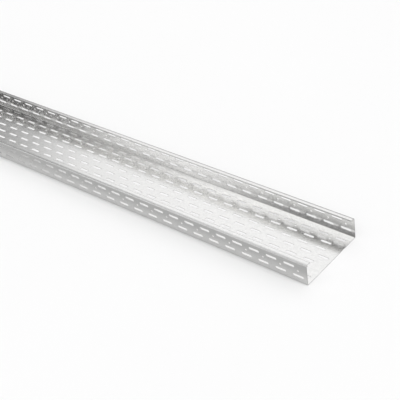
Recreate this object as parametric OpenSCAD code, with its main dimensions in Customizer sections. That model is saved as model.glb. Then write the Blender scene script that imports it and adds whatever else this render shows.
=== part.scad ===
// Perforated cable tray: one galvanised steel sheet, punched with rows of slots and small
// holes, then formed to an open channel whose walls end in an edge folded inwards.
// The length runs along X, the width along Y, and the floor's underside lies on Z = 0.
// The origin is at the middle of the underside.

/* [Channel] */
// Length of the tray
tray_length = 3000; // [500:50:3000]
// Outside width of the channel
tray_width = 200; // [100:50:300]
// Outside height of the walls, to the top of the folded edge
wall_height = 60; // [45:5:110]

/* [Sheet] */
// Thickness of the steel sheet
sheet_t = 1; // [0.8:0.1:2]
// Inside radius of the bends at the floor
bend_r = 1.5; // [0.5:0.1:3]

/* [Folded edge] */
// Width of the edge folded inwards along the top of each wall, from the wall's outside
lip_width = 14; // [12:0.5:20]
// Outside radius of the bend from the wall to the folded edge
lip_r = 5; // [2.5:0.5:6]
// Inside radius of the bend at the turned-down rim of the folded edge
rim_r = 0.5; // [0.3:0.1:2]
// Length of the rim below its bend
rim_tail = 1.5; // [0.5:0.5:4]

/* [Slots] */
// Length of a slot, end to end
slot_length = 30; // [20:1:36]
// Width of a slot
slot_width = 7; // [5:0.5:9]
// Spacing of the slots along a row
slot_pitch = 50; // [45:1:60]
// Spacing between neighbouring rows
row_pitch = 25; // [22:1:30]
// Least distance from a floor row to the outside of the wall
row_margin = 20; // [15:1:24]

/* [Small holes] */
// Diameter of the small round holes
hole_d = 5; // [3:0.5:6]
// Distance from a line of small holes to the slot row whose gaps the holes stand in
hole_offset = 10; // [8:0.5:12]

/* [Hidden] */
$fn = 48;

// Outside radius of the floor's bends, and the width of floor between them on each side
bend_outer_r = bend_r + sheet_t;
floor_end = tray_width / 2 - bend_outer_r;
// Outside radius of the rim's bend, the rim's face towards the channel, and the flat between
// the rim's bend and the wall's bend
rim_outer_r = rim_r + sheet_t;
rim_y = tray_width / 2 - lip_width;
lip_flat = lip_width - lip_r - rim_outer_r;
// Share of a pitch that a length may fall short of a whole pitch and still count as one
pitch_slack = 0.01;
// Slots in a row that starts half a pitch from the end; a staggered row has one fewer
row_count = floor(tray_length / slot_pitch + pitch_slack);
// Slot rows on each side of the middle row of the floor
side_rows = floor((tray_width / 2 - row_margin) / row_pitch + pitch_slack);
// Heights of the two slot rows in the walls, level about the middle of the wall
lower_row_z = (wall_height - row_pitch) / 2;
upper_row_z = (wall_height + row_pitch) / 2;

// Slots in the floor row that stands i rows from the middle: every third row starts
// half a pitch from the end, and the two rows between are staggered
function floor_count(i) = i % 3 == 0 ? row_count : row_count - 1;

// The count of a row that stands in the gaps of a row of n
function gap_count(n) = n == row_count ? row_count - 1 : row_count;

// Position along X of item i in a row of n, centred on the tray
function row_x(i, n) = (i - (n - 1) / 2) * slot_pitch;

// A quarter bend of outside radius r, about the centre of its arc
module bend(r) {
    difference() {
        intersection() {
            circle(r);
            square(r);
        }
        circle(r - sheet_t);
    }
}

// The edge folded inwards, with its bend from the wall and its turned-down rim
module lip() {
    translate([tray_width / 2 - lip_r, wall_height - lip_r]) bend(lip_r);
    translate([rim_y + rim_outer_r, wall_height - sheet_t]) square([lip_flat, sheet_t]);
    translate([rim_y + rim_outer_r, wall_height - rim_outer_r])
        mirror([1, 0]) bend(rim_outer_r);
    translate([rim_y, wall_height - rim_outer_r - rim_tail]) square([sheet_t, rim_tail]);
}

// One half of the cross-section: half the floor, a wall and its folded edge
module half_section() {
    square([floor_end, sheet_t]);
    translate([floor_end, bend_outer_r]) mirror([0, 1]) bend(bend_outer_r);
    translate([tray_width / 2 - sheet_t, bend_outer_r])
        square([sheet_t, wall_height - lip_r - bend_outer_r]);
    lip();
}

// The formed channel before punching
module channel() {
    rotate([90, 0, 90])
        linear_extrude(tray_length, center = true) {
            half_section();
            mirror([1, 0]) half_section();
        }
}

// Outline of one round-ended slot, its length along X
module slot() {
    reach = (slot_length - slot_width) / 2;
    square([2 * reach, slot_width], center = true);
    translate([reach, 0]) circle(d = slot_width);
    translate([-reach, 0]) circle(d = slot_width);
}

// Outlines of a row of n slots
module slot_row(n) {
    for (i = [0 : n - 1]) translate([row_x(i, n), 0]) slot();
}

// Outlines of a row of n small holes
module hole_row(n) {
    for (i = [0 : n - 1]) translate([row_x(i, n), 0]) circle(d = hole_d);
}

// Punches for the floor, reaching one sheet past it above and below
module floor_punches() {
    hole_y = side_rows * row_pitch - hole_offset;
    translate([0, 0, -sheet_t])
        linear_extrude(3 * sheet_t) {
            for (i = [-side_rows : side_rows])
                translate([0, i * row_pitch]) slot_row(floor_count(abs(i)));
            for (side = [-1, 1])
                translate([0, side * hole_y]) hole_row(gap_count(floor_count(side_rows)));
        }
}

// Punches that run through both walls, reaching one sheet past each
module wall_punches() {
    rotate([90, 0, 0])
        linear_extrude(tray_width + 2 * sheet_t, center = true) {
            translate([0, lower_row_z]) slot_row(row_count);
            translate([0, upper_row_z]) slot_row(row_count - 1);
            translate([0, upper_row_z - hole_offset]) hole_row(row_count);
        }
}

module cable_tray() {
    color("silver")
        difference() {
            channel();
            floor_punches();
            wall_punches();
        }
}

cable_tray();
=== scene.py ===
"""Perforated cable tray in galvanised steel, dressed and lit on a plain pale floor.

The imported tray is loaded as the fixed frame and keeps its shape. This script gives it a
zinc finish that knows where the sheet is flat, folded, punched or cut, sets it on a studio
floor under soft light, and looks at it from the photograph's angle.
"""

import logging
from dataclasses import dataclass, field
from enum import Enum
from math import pi, radians, sin
from typing import Any, Dict, List, Mapping, Optional, Sequence, Tuple, Union

import bmesh
import bpy
from mathutils import Matrix, Vector


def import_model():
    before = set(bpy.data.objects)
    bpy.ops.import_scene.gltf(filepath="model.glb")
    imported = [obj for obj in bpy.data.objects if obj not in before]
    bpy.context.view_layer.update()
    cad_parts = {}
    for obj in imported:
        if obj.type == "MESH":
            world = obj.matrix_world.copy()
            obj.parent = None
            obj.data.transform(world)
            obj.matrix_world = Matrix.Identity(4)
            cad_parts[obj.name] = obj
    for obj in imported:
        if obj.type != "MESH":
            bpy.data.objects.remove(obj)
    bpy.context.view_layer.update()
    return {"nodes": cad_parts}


LOG = logging.getLogger("cable_tray")
MM = 0.001

Pair = Tuple[float, float]
Triple = Tuple[float, float, float]
Colour = Triple


class Texture(Enum):
    """Coordinates that a pattern can follow."""

    OBJECT = "Object"
    NORMAL = "Normal"
    DIRECTION = "Generated"


class Value:
    """A number carried by a node socket, with Python's operators for shader maths."""

    def __init__(self, graph: "Graph", socket: bpy.types.NodeSocket) -> None:
        """Wraps a socket.

        Args:
            graph: The graph that the socket belongs to.
            socket: An output socket that carries a number.
        """
        self.graph = graph
        self.socket = socket

    def _math(self, operation: str, *operands: "Number") -> "Value":
        """Adds a Math node.

        Args:
            operation: The Math node's operation.
            operands: Its inputs in order, as numbers or values.

        Returns:
            The node's output.
        """
        inputs = dict(enumerate(operands))
        return self.graph.node("ShaderNodeMath", {"operation": operation}, inputs)[0]

    def __add__(self, other: "Number") -> "Value":
        """Sum."""
        return self._math("ADD", self, other)

    def __radd__(self, other: "Number") -> "Value":
        """Sum with the value on the right."""
        return self._math("ADD", other, self)

    def __sub__(self, other: "Number") -> "Value":
        """Difference."""
        return self._math("SUBTRACT", self, other)

    def __rsub__(self, other: "Number") -> "Value":
        """Difference with the value on the right."""
        return self._math("SUBTRACT", other, self)

    def __mul__(self, other: "Number") -> "Value":
        """Product."""
        return self._math("MULTIPLY", self, other)

    def __rmul__(self, other: "Number") -> "Value":
        """Product with the value on the right."""
        return self._math("MULTIPLY", other, self)

    def __truediv__(self, other: "Number") -> "Value":
        """Quotient."""
        return self._math("DIVIDE", self, other)

    def __mod__(self, other: "Number") -> "Value":
        """Remainder that takes the divisor's sign."""
        return self._math("FLOORED_MODULO", self, other)

    def __abs__(self) -> "Value":
        """Size without sign."""
        return self._math("ABSOLUTE", self)

    def __lt__(self, other: "Number") -> "Value":
        """One where the value is the smaller, else nought."""
        return self._math("LESS_THAN", self, other)

    def __gt__(self, other: "Number") -> "Value":
        """One where the value is the larger, else nought."""
        return self._math("GREATER_THAN", self, other)

    def at_least(self, other: "Number") -> "Value":
        """The larger of two."""
        return self._math("MAXIMUM", self, other)

    def at_most(self, other: "Number") -> "Value":
        """The smaller of two."""
        return self._math("MINIMUM", self, other)

    def rounded(self) -> "Value":
        """The nearest whole number."""
        return self._math("ROUND", self)

    def hypot(self, other: "Value") -> "Value":
        """Length of the vector that two values make."""
        return self._math("SQRT", self * self + other * other)

    def ramp(self, low: float, high: float) -> "Value":
        """A smooth step.

        Args:
            low: The value that gives nought.
            high: The value that gives one; it may be below low.

        Returns:
            The eased step from nought to one.
        """
        ends = {"From Min": min(low, high), "From Max": max(low, high),
                "To Min": float(low > high), "To Max": float(low < high)}
        return self.graph.node("ShaderNodeMapRange", {"interpolation_type": "SMOOTHSTEP"},
                               {"Value": self, **ends})["Result"]


Number = Union[float, Value]
SocketKey = Union[int, str]


class Outputs:
    """The outputs of one node, by name or by place."""

    def __init__(self, graph: "Graph", node: bpy.types.Node) -> None:
        """Holds a node.

        Args:
            graph: The graph that the node belongs to.
            node: The node.
        """
        self.graph = graph
        self.node = node

    def __getitem__(self, key: SocketKey) -> Value:
        """One output, wrapped for shader maths."""
        return Value(self.graph, self.node.outputs[key])


class Graph:
    """A node tree that is written as expressions."""

    def __init__(self, tree: bpy.types.NodeTree) -> None:
        """Empties a tree.

        Args:
            tree: The tree to write in.
        """
        self.tree = tree
        tree.nodes.clear()

    def node(self, kind: str, settings: Optional[Mapping[str, Any]] = None,
             inputs: Optional[Mapping[SocketKey, Any]] = None) -> Outputs:
        """Adds a node.

        Args:
            kind: The node's type.
            settings: Properties of the node, set first.
            inputs: Values or links of its sockets, by name or by place.

        Returns:
            The node's outputs.
        """
        node = self.tree.nodes.new(kind)
        for name, setting in (settings or {}).items():
            setattr(node, name, setting)
        for key, source in (inputs or {}).items():
            if isinstance(source, Value):
                self.tree.links.new(source.socket, node.inputs[key])
            else:
                node.inputs[key].default_value = source
        return Outputs(self, node)

    def coordinate(self, texture: Texture) -> Value:
        """A coordinate output."""
        return self.node("ShaderNodeTexCoord")[texture.value]

    def split(self, vector: Value) -> Tuple[Value, Value, Value]:
        """The three parts of a vector."""
        parts = self.node("ShaderNodeSeparateXYZ", inputs={"Vector": vector})
        return parts["X"], parts["Y"], parts["Z"]

    def stretched(self, vector: Value, scale: Triple) -> Value:
        """A vector scaled by its axes."""
        return self.node("ShaderNodeVectorMath", {"operation": "MULTIPLY"},
                         {0: vector, 1: scale})["Vector"]

    def noise(self, vector: Value, scale: float = 1.0, detail: float = 2.0,
              rough: float = 0.5, output: str = "Fac") -> Value:
        """Soft noise.

        Args:
            vector: Where to read it.
            scale: Blotches to the metre.
            detail: Octaves.
            rough: Weight of the finer octaves.
            output: The node's output to give, a number or a colour.

        Returns:
            Values about one half.
        """
        return self.node("ShaderNodeTexNoise", None, {
            "Vector": vector, "Scale": scale, "Detail": detail, "Roughness": rough})[output]

    def blend(self, factor: Number, first: Union[Value, Colour],
              second: Union[Value, Colour]) -> Value:
        """A mix of two colours.

        Args:
            factor: Share of the second.
            first: A colour or a colour output.
            second: A colour or a colour output.

        Returns:
            The mixed colour.
        """
        sides = [c if isinstance(c, Value) else (*c, 1.0) for c in (first, second)]
        inputs = {0: factor, 6: sides[0], 7: sides[1]}
        return self.node("ShaderNodeMix", {"data_type": "RGBA"}, inputs)[2]


@dataclass(frozen=True)
class Spot:
    """A point of the sheet in millimetres, and the way its face looks."""

    x: Value
    y: Value
    z: Value
    side: Value
    facing: Tuple[Value, Value, Value]
    outward: Value

    @classmethod
    def at(cls, graph: Graph, place: Value) -> "Spot":
        """Reads a point.

        Args:
            graph: The graph to write in.
            place: The point in metres.

        Returns:
            The point, its distance from the middle plane, its face's direction and the
            part of that direction that leads away from the middle plane.
        """
        x, y, z = (part / MM for part in graph.split(place))
        facing = graph.split(graph.coordinate(Texture.NORMAL))
        return cls(x, y, z, abs(y), facing, ((y > 0.0) * 2.0 - 1.0) * facing[1])


@dataclass(frozen=True)
class PunchPattern:
    """Where the slots and the small holes stand, in millimetres, for the finish to follow."""

    pitch: float = 50.0
    row_pitch: float = 25.0
    row_cycle: float = 3.0
    slot_length: float = 30.0
    slot_width: float = 7.0
    hole_d: float = 5.0
    lower_row: float = 17.5
    wall_hole: float = 32.5
    floor_hole: float = 65.0
    floor_reach: float = 88.0
    wall_face: float = 97.0
    last: float = 1476.0
    clear: float = 50.0

    def edge_distance(self, spot: Spot) -> Value:
        """Distance along the sheet to the nearest punched edge.

        Args:
            spot: The point on the sheet.

        Returns:
            The distance in millimetres, below nought inside a hole.
        """
        wall = spot.side > self.wall_face
        return self.slot_distance(spot, wall).at_most(self.hole_distance(spot, wall))

    def from_middle(self, along: Value) -> Value:
        """Distance along a row from the middle of the nearest pitch."""
        return (along + self.pitch / 2) % self.pitch - self.pitch / 2

    def slot_distance(self, spot: Spot, wall: Value) -> Value:
        """Distance to the nearest slot's edge.

        Args:
            spot: The point on the sheet.
            wall: One on the walls, nought on the floor.

        Returns:
            The distance in millimetres, made large where no slot stands.
        """
        across = spot.y + wall * (spot.z - self.lower_row - spot.y)
        row = (across / self.row_pitch).rounded()
        shifted = (row % self.row_cycle) < 0.5
        along = self.from_middle(spot.x - shifted * (self.pitch / 2))
        past = (abs(along) - (self.slot_length - self.slot_width) / 2).at_least(0.0)
        beside = across - row * self.row_pitch
        none = ((spot.side > self.floor_reach) * (1.0 - wall)
                + (abs(spot.x - along) > self.last))
        return past.hypot(beside) - self.slot_width / 2 + none * self.clear

    def hole_distance(self, spot: Spot, wall: Value) -> Value:
        """Distance to the nearest small hole's edge.

        Args:
            spot: The point on the sheet.
            wall: One on the walls, nought on the floor.

        Returns:
            The distance in millimetres, made large where no hole stands.
        """
        level = (spot.side - self.floor_hole
                 + wall * (spot.z - self.wall_hole - spot.side + self.floor_hole))
        along = self.from_middle(spot.x + wall * (self.pitch / 2))
        none = abs(spot.x - along) > self.last
        return along.hypot(level) - self.hole_d / 2 + none * self.clear


@dataclass(frozen=True)
class SheetSection:
    """The folded section in millimetres, so that the finish can tell its faces apart."""

    half_length: float = 1500.0
    floor_top: float = 1.0
    floor_end: float = 97.5
    wall_inner: float = 99.0
    wall_low: float = 2.5
    wall_high: float = 55.0
    rim_end: float = 57.0
    rim_near: float = 86.0
    rim_far: float = 87.0
    rim_side: Pair = (88.0, 87.2)
    crown_rise: Pair = (55.4, 57.4)
    crown_side: Pair = (94.6, 96.4)
    lee_rise: Pair = (44.0, 50.0)
    lee_side: float = 87.3
    lee_slant: float = -0.3
    skin_side: float = 98.0
    slack: float = 0.1
    square_on: float = 0.5

    def end(self, spot: Spot) -> Value:
        """One on the sheared ends."""
        return ((abs(spot.facing[0]) > self.square_on)
                * (abs(spot.x) > self.half_length - self.slack))

    def cut(self, spot: Spot) -> Value:
        """Finds the cut faces.

        Args:
            spot: The point on the sheet.

        Returns:
            One on punched and sheared faces, else nought.
        """
        nx, ny, nz = (abs(part) for part in spot.facing)
        floor = ((spot.z < self.floor_top + self.slack)
                 * (spot.side < self.floor_end - self.slack) * (nz < self.square_on))
        wall = ((spot.side > self.wall_inner - self.slack) * (spot.z > self.wall_low + self.slack)
                * (spot.z < self.wall_high - self.slack) * (ny < self.square_on))
        rim = ((spot.z > self.rim_end - self.slack) * (spot.z < self.rim_end + self.slack)
               * (spot.side > self.rim_near - self.slack) * (spot.side < self.rim_far + self.slack)
               * (nz > self.square_on))
        return (floor + wall + rim + (nx > self.square_on)).at_most(1.0)

    def crown(self, spot: Spot) -> Value:
        """One on the outer skin of the bend between a wall and its folded edge."""
        return (spot.z.ramp(*self.crown_rise) * spot.side.ramp(*self.crown_side)
                * (spot.facing[2] + spot.outward > 0.0))

    def rim(self, spot: Spot) -> Value:
        """One on the outer skin of the turned-down rim."""
        return ((spot.z > self.rim_end - 2 * self.slack) * spot.side.ramp(*self.rim_side)
                * (spot.facing[2] - spot.outward > 0.0))

    def lee(self, spot: Spot) -> Value:
        """One on the inner skin under the folded edge, where the colour holds painted light and
        painted shade.
        """
        return (spot.z.ramp(*self.lee_rise) * (spot.side > self.lee_side)
                * (spot.facing[2] + spot.outward < self.lee_slant))

    def skin(self, spot: Spot) -> Value:
        """One on a wall's outside, minus one on its inside, nought elsewhere."""
        return spot.outward * (spot.side > self.skin_side)


@dataclass(frozen=True)
class Patterns:
    """Patterns in the zinc, each a value about nought to one."""

    crystal: Value
    cloud: Value
    drawn: Value
    grain: Value
    scuff: Value
    wave: Value


@dataclass(frozen=True)
class ZincTexture:
    """Sizes of the patterns in the zinc: crystals, clouds, drawing lines, grain and scuffs."""

    crystal_mm: float = 7.0
    warp_mm: float = 7.0
    warp: float = 170.0
    cloud: float = 14.0
    grain: float = 1500.0
    drawn: Triple = (1.6, 420.0, 420.0)
    scuff: Triple = (9.0, 300.0, 300.0)
    scuff_edge: Pair = (0.62, 0.74)
    wave: Triple = (3.2, 9.0, 9.0)

    def crystals(self, graph: Graph, place: Value) -> Value:
        """Frozen zinc crystals with ragged edges.

        Args:
            graph: The graph to write in.
            place: The point in metres.

        Returns:
            One level for each crystal.
        """
        ragged = graph.node("ShaderNodeVectorMath", {"operation": "MULTIPLY_ADD"}, {
            0: graph.noise(place, self.warp, output="Color"), 1: (self.warp_mm * MM,) * 3,
            2: place})["Vector"]
        cells = graph.node("ShaderNodeTexVoronoi", {"feature": "F1"}, {
            "Vector": ragged, "Scale": 1.0 / (self.crystal_mm * MM), "Randomness": 1.0})
        return graph.node("ShaderNodeSeparateColor", None, {"Color": cells["Color"]})["Red"]

    def build(self, graph: Graph, place: Value) -> Patterns:
        """Writes the patterns.

        Args:
            graph: The graph to write in.
            place: The point in metres.

        Returns:
            The patterns.
        """
        scuff = graph.noise(graph.stretched(place, self.scuff), detail=5.0, rough=0.72)
        return Patterns(
            crystal=self.crystals(graph, place),
            cloud=graph.noise(place, self.cloud, detail=3.0, rough=0.55),
            drawn=graph.noise(graph.stretched(place, self.drawn), detail=3.0, rough=0.6),
            grain=graph.noise(place, self.grain, rough=0.6),
            scuff=scuff.ramp(*self.scuff_edge),
            wave=graph.noise(graph.stretched(place, self.wave), detail=1.0, rough=0.4))


@dataclass(frozen=True)
class Relief:
    """Heights of the sheet's small relief, in millimetres."""

    wave: float = 0.45
    crystal: float = 0.0006
    drawn: float = 0.0012
    grain: float = 0.0002
    rub: float = 0.05
    scuff: float = 0.001
    wall_bow: float = 1.5
    wall_middle: float = 38.0
    wall_half: float = 29.0
    outside_share: float = 0.1
    floor_hollow: float = 8.0
    floor_half: float = 97.0
    hollow_reach: Pair = (1450.0, 700.0)
    upward: float = 0.5

    def bow(self, spot: Spot, skin: Value) -> Value:
        """The walls' slight bow.

        Args:
            spot: The point on the sheet.
            skin: One on a wall's outside, minus one on its inside.

        Returns:
            The height in millimetres.
        """
        lift = ((spot.z - self.wall_middle) / self.wall_half).at_most(1.0)
        return (1.0 - lift * lift) * skin.at_most(skin * self.outside_share) * self.wall_bow

    def hollow(self, spot: Spot) -> Value:
        """The slight hollow of the floor's back half, away from the ends.

        Args:
            spot: The point on the sheet.

        Returns:
            The height in millimetres.
        """
        across = (spot.y / self.floor_half).at_least(0.0)
        floor = (spot.facing[2] > self.upward) * (spot.z < self.wall_middle)
        reach = abs(spot.x).ramp(*self.hollow_reach)
        return (across * across - 1.0) * reach * floor * self.floor_hollow

    def height(self, spot: Spot, skin: Value, rub: Value, pattern: Patterns) -> Value:
        """The relief at a point.

        Args:
            spot: The point on the sheet.
            skin: One on a wall's outside, minus one on its inside.
            rub: How near a punched edge is.
            pattern: The patterns in the zinc.

        Returns:
            The height in metres.
        """
        form = pattern.wave * self.wave + self.bow(spot, skin) + self.hollow(spot)
        fine = (pattern.crystal * self.crystal + pattern.drawn * self.drawn
                + pattern.grain * self.grain)
        return (form + fine - rub * rub * self.rub - pattern.scuff * self.scuff) * MM


@dataclass(frozen=True)
class Gloss:
    """What each pattern and each place adds to the sheet's roughness."""

    sheet: float = 0.155
    crystal: float = 0.04
    cloud: float = 0.08
    drawn: float = 0.06
    scuff: float = 0.05
    crown: float = 0.14
    cut: float = 0.25
    lee: float = -0.08


@dataclass(frozen=True)
class ZincFinish:
    """Continuously galvanised sheet: a soft metallic grey with a faint spangle."""

    name: str = "galvanised_steel"
    light: Colour = (0.900, 0.897, 0.889)
    dark: Colour = (0.845, 0.843, 0.836)
    rubbed: Colour = (0.890, 0.888, 0.880)
    # Painted shade: the dark grey that the walls' outside and the folded edges are blended
    # towards.
    painted_shade: Colour = (0.400, 0.399, 0.395)
    # Painted light under the folded edges away from the ends: near white, brighter than the zinc.
    painted_lee_light: Colour = (0.985, 0.983, 0.975)
    # Painted shade under the folded edges near the ends.
    shaded: Colour = (0.780, 0.778, 0.772)
    bare: Colour = (0.440, 0.436, 0.430)
    sheared: Colour = (0.130, 0.129, 0.127)
    tone_share: Triple = (0.42, 0.38, 0.20)
    tone_range: Pair = (0.24, 0.76)
    rub_reach: Pair = (1.1, 0.1)
    rub_share: float = 0.35
    # Shares and rise of the painted shade on the walls' outside, the bends to the folded edges and
    # the back rim.
    wall_shade_share: Pair = (0.50, 0.45)
    wall_shade_rise: Pair = (4.0, 50.0)
    crown_shade_share: Pair = (0.16, 0.74)
    rim_shade_share: float = 0.50
    bare_share: Pair = (0.55, 0.40)
    sheared_share: Pair = (0.75, 0.25)
    shaded_reach: Pair = (1400.0, 1150.0)
    pattern: PunchPattern = field(default_factory=PunchPattern)
    section: SheetSection = field(default_factory=SheetSection)
    texture: ZincTexture = field(default_factory=ZincTexture)
    relief: Relief = field(default_factory=Relief)
    gloss: Gloss = field(default_factory=Gloss)

    def painted_shade_share(self, spot: Spot) -> Value:
        """Painted shade: how far the zinc is darkened on the walls' outside, more towards the top,
        and on the folded edges, most on the back one.

        Args:
            spot: The point on the sheet.

        Returns:
            Nought where no shade is painted, towards one on the walls' outside and the back folded
            edge.
        """
        crown = self.section.crown(spot)
        back = spot.y > 0.0
        # Painted shade on the bends to the folded edges and on the back rim, most on the back
        # side.
        folded = (crown * (self.crown_shade_share[0] + back * self.crown_shade_share[1])
                  + self.section.rim(spot) * back * self.rim_shade_share)
        # Painted shade on the walls' outside, darker towards the top.
        rise = spot.z.ramp(*self.wall_shade_rise)
        wall_shade = (self.section.skin(spot).at_least(0.0)
                   * (self.wall_shade_share[0] + rise * self.wall_shade_share[1]))
        return folded.at_least(wall_shade * (1.0 - crown))

    def colour(self, graph: Graph, spot: Spot, pattern: Patterns, cut: Value,
               rub: Value) -> Value:
        """The sheet's colour.

        Args:
            graph: The graph to write in.
            spot: The point on the sheet.
            pattern: The patterns in the zinc.
            cut: One on cut faces.
            rub: How near a punched edge is.

        Returns:
            The colour output.
        """
        shares = zip((pattern.crystal, pattern.cloud, pattern.drawn), self.tone_share)
        crystal, cloud, drawn = (part * share for part, share in shares)
        tone = (crystal + cloud + drawn).ramp(*self.tone_range)
        # Under the folded edge the colour is painted: painted light away from the ends, painted
        # shade towards them.
        inland = abs(spot.x).ramp(*self.shaded_reach)
        lee = graph.blend(inland, self.shaded, self.painted_lee_light)
        zinc = graph.blend(tone, self.dark, self.light)
        sheet = graph.blend(self.section.lee(spot), zinc, lee)
        # Painted shade: the walls' outside and the folded edges are darkened.
        shaded_zinc = graph.blend(self.painted_shade_share(spot), sheet, self.painted_shade)
        worn = graph.blend(rub * self.rub_share, shaded_zinc, self.rubbed)
        bare = cut * (self.bare_share[0] + pattern.grain * self.bare_share[1])
        punched = graph.blend(bare, worn, self.bare)
        ends = self.section.end(spot) * (self.sheared_share[0]
                                         + pattern.grain * self.sheared_share[1])
        return graph.blend(ends, punched, self.sheared)

    def roughness(self, spot: Spot, pattern: Patterns, cut: Value) -> Value:
        """The sheet's roughness.

        Args:
            spot: The point on the sheet.
            pattern: The patterns in the zinc.
            cut: One on cut faces.

        Returns:
            The roughness.
        """
        gloss = self.gloss
        return (gloss.sheet + pattern.crystal * gloss.crystal + (pattern.cloud - 0.5) * gloss.cloud
                + (pattern.drawn - 0.5) * gloss.drawn + pattern.scuff * gloss.scuff
                + self.section.crown(spot) * gloss.crown + cut * gloss.cut
                + self.section.lee(spot) * gloss.lee)

    def material(self) -> bpy.types.Material:
        """Builds the material.

        Returns:
            The finished material.
        """
        material = bpy.data.materials.new(self.name)
        material.use_nodes = True
        graph = Graph(material.node_tree)
        place = graph.coordinate(Texture.OBJECT)
        spot = Spot.at(graph, place)
        pattern = self.texture.build(graph, place)
        cut = self.section.cut(spot)
        rub = self.pattern.edge_distance(spot).ramp(*self.rub_reach) * (1.0 - cut)
        height = self.relief.height(spot, self.section.skin(spot), rub, pattern)
        normal = graph.node("ShaderNodeBump", None, {
            "Strength": 1.0, "Distance": 1.0, "Height": height})["Normal"]
        shader = graph.node("ShaderNodeBsdfPrincipled", None, {
            "Base Color": self.colour(graph, spot, pattern, cut, rub), "Metallic": 1.0,
            "Roughness": self.roughness(spot, pattern, cut), "Normal": normal})
        graph.node("ShaderNodeOutputMaterial", None, {"Surface": shader["BSDF"]})
        return material


@dataclass(frozen=True)
class FloorFinish:
    """Matt pale studio floor."""

    name: str = "studio_floor"
    colour: Colour = (0.93, 0.93, 0.93)
    shade: float = 0.985
    haze: float = 1.2
    roughness: float = 0.9
    specular: float = 0.1

    def material(self) -> bpy.types.Material:
        """Builds the material.

        Returns:
            The finished material.
        """
        material = bpy.data.materials.new(self.name)
        material.use_nodes = True
        graph = Graph(material.node_tree)
        haze = graph.noise(graph.coordinate(Texture.OBJECT), self.haze)
        low = tuple(c * self.shade for c in self.colour)
        shader = graph.node("ShaderNodeBsdfPrincipled", None, {
            "Base Color": graph.blend(haze, low, self.colour), "Roughness": self.roughness,
            "Specular IOR Level": self.specular})
        graph.node("ShaderNodeOutputMaterial", None, {"Surface": shader["BSDF"]})
        return material


@dataclass
class Tray:
    """The folded, punched sheet."""

    node: str = "cable_tray"
    finish: ZincFinish = field(default_factory=ZincFinish)

    def dress(self, nodes: Mapping[str, bpy.types.Object]) -> None:
        """Gives the sheet its zinc.

        Args:
            nodes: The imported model's objects by node name.
        """
        sheet = nodes[self.node]
        sheet.data.materials.clear()
        sheet.data.materials.append(self.finish.material())
        LOG.info("%s: %d faces in %s", self.node, len(sheet.data.polygons), self.finish.name)


@dataclass
class Sky:
    """The surrounding light: levels of its parts, and their edges.

    An edge across the sky is given by elevations in degrees, and a reach along the tray by
    the X of the direction.
    """

    name: str = "studio_light"
    back: float = 1.03
    back_low: float = 0.18
    back_end: float = 0.30
    back_edge: Pair = (33.0, 40.0)
    back_reach: Pair = (-0.73, -0.65)
    front: float = 1.28
    front_low: float = 0.18
    front_flat: float = 1.50
    front_end: float = 0.0
    front_edge: Pair = (32.0, 60.0)
    front_turn: Pair = (-0.51, -0.60)
    front_reach: Pair = (-0.695, -0.61)
    over: float = 0.80
    over_edge: Pair = (60.0, 72.0)
    right: float = 0.90
    right_low: float = 0.45
    right_edge: Pair = (16.0, 36.0)
    horizon: float = 0.60
    horizon_edge: Pair = (12.0, 4.0)
    behind: Pair = (-0.15, 0.15)
    leftward: Pair = (0.10, -0.25)
    least: float = 0.001

    @staticmethod
    def above(height: Value, edge: Pair) -> Value:
        """A soft edge between two elevations.

        Args:
            height: Sine of the elevation.
            edge: Elevations in degrees where the edge starts and where it is done.

        Returns:
            Nought before the edge and one past it.
        """
        return height.ramp(sin(radians(edge[0])), sin(radians(edge[1])))

    def level(self, x: Value, y: Value, z: Value) -> Value:
        """The light's level by direction.

        Args:
            x: The direction's part along the tray.
            y: Its part across, towards the back.
            z: Its part upwards.

        Returns:
            The level, of which one is white.
        """
        rise = z / y.hypot(z).at_least(self.least)
        over = self.above(rise, self.over_edge)
        back = self.back_low + self.above(rise, self.back_edge) * (self.back - self.back_low)
        back = back + over * (self.over - back)
        back = self.back_end + x.ramp(*self.back_reach) * (back - self.back_end)
        front = self.front_low + self.above(rise, self.front_edge) * (self.front - self.front_low)
        front = front + x.ramp(*self.front_turn) * (self.front_flat - front)
        front = front + over * (self.over - front)
        front = self.front_end + x.ramp(*self.front_reach) * (front - self.front_end)
        left = front + y.ramp(*self.behind) * (back - front)
        right = self.right_low + self.above(z, self.right_edge) * (self.right - self.right_low)
        horizon = self.above(z, self.horizon_edge) * self.horizon
        return right + x.ramp(*self.leftward) * (left - right) + horizon

    def build(self) -> bpy.types.World:
        """Paints the light.

        Returns:
            The world.
        """
        world = bpy.data.worlds.new(self.name)
        world.use_nodes = True
        graph = Graph(world.node_tree)
        level = self.level(*graph.split(graph.coordinate(Texture.DIRECTION)))
        shade = graph.node("ShaderNodeBackground", None, {
            "Color": (1.0, 1.0, 1.0, 1.0), "Strength": level})
        graph.node("ShaderNodeOutputWorld", None, {"Surface": shade["Background"]})
        bpy.context.scene.world = world
        return world


@dataclass
class SideLamp:
    """A broad lamp above the tray, to the right, that the metal does not mirror."""

    name: str = "side_light"
    level: float = 0.32
    height: float = 46.0
    spread: float = 28.0
    aim: Triple = (-0.69, 0.0, -0.72)

    def build(self) -> bpy.types.Object:
        """Hangs the lamp.

        Returns:
            The lamp's object.
        """
        lamp = bpy.data.lights.new(self.name, "SUN")
        lamp.energy = self.level * pi / sin(radians(self.height))
        lamp.angle = radians(self.spread)
        holder = bpy.data.objects.new(self.name, lamp)
        holder.rotation_euler = Vector(self.aim).to_track_quat("-Z", "Y").to_euler()
        holder.visible_glossy = False
        bpy.context.scene.collection.objects.link(holder)
        return holder


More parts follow.
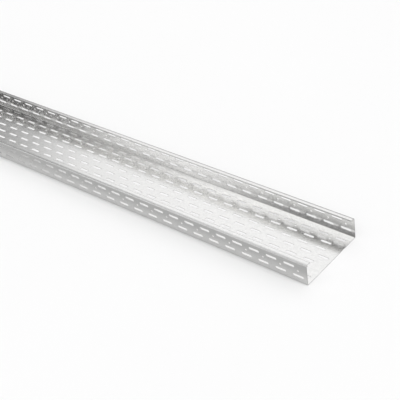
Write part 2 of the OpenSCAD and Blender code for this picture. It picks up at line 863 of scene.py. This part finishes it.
@dataclass
class Studio:
    """Floor, surrounding light and lamp."""

    floor_name: str = "studio_floor"
    floor_size: float = 60.0
    finish: FloorFinish = field(default_factory=FloorFinish)
    sky: Sky = field(default_factory=Sky)
    lamp: SideLamp = field(default_factory=SideLamp)

    def build_floor(self) -> bpy.types.Object:
        """Lays the floor.

        Returns:
            The floor's object.
        """
        mesh = bpy.data.meshes.new(self.floor_name)
        form = bmesh.new()
        bmesh.ops.create_grid(form, x_segments=2, y_segments=2, size=self.floor_size)
        form.to_mesh(mesh)
        form.free()
        mesh.materials.append(self.finish.material())
        floor = bpy.data.objects.new(self.floor_name, mesh)
        bpy.context.scene.collection.objects.link(floor)
        return floor

    def build(self) -> None:
        """Builds floor, lamp and surrounding light."""
        for piece in (self.build_floor(), self.lamp.build(), self.sky.build()):
            LOG.info("studio: %s", piece.name)


@dataclass
class PhotoCamera:
    """The camera at the photograph's place, aim and tilt."""

    name: str = "photo_camera"
    place: Triple = (2.56964, -1.47268, 1.56937)
    forward: Triple = (-0.56734, 0.56922, -0.59508)
    up: Triple = (-0.29900, 0.53093, 0.79291)
    lens_mm: float = 91.50
    sensor_mm: float = 36.0
    far_clip: float = 100.0

    def build(self) -> bpy.types.Object:
        """Sets the camera.

        Returns:
            The camera's object.
        """
        data = bpy.data.cameras.new(self.name)
        data.lens = self.lens_mm
        data.sensor_width = self.sensor_mm
        data.sensor_fit = "AUTO"
        data.clip_end = self.far_clip
        forward = Vector(self.forward).normalized()
        right = forward.cross(Vector(self.up)).normalized()
        turn = Matrix((right, right.cross(forward), -forward)).transposed()
        camera = bpy.data.objects.new(self.name, data)
        camera.matrix_world = Matrix.Translation(self.place) @ turn.to_4x4()
        bpy.context.scene.collection.objects.link(camera)
        bpy.context.scene.camera = camera
        return camera


def main() -> None:
    """Loads the tray, dresses it, lights it and sets the camera."""
    logging.basicConfig(level=logging.INFO, format="%(name)s: %(message)s")
    frame: Dict[str, Any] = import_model()
    bpy.context.scene.view_settings.view_transform = "Standard"
    LOG.info("camera: %s", PhotoCamera().build().name)
    Tray().dress(frame["nodes"])
    Studio().build()
    LOG.info("boxes written")


if __name__ == "__main__":
    main()
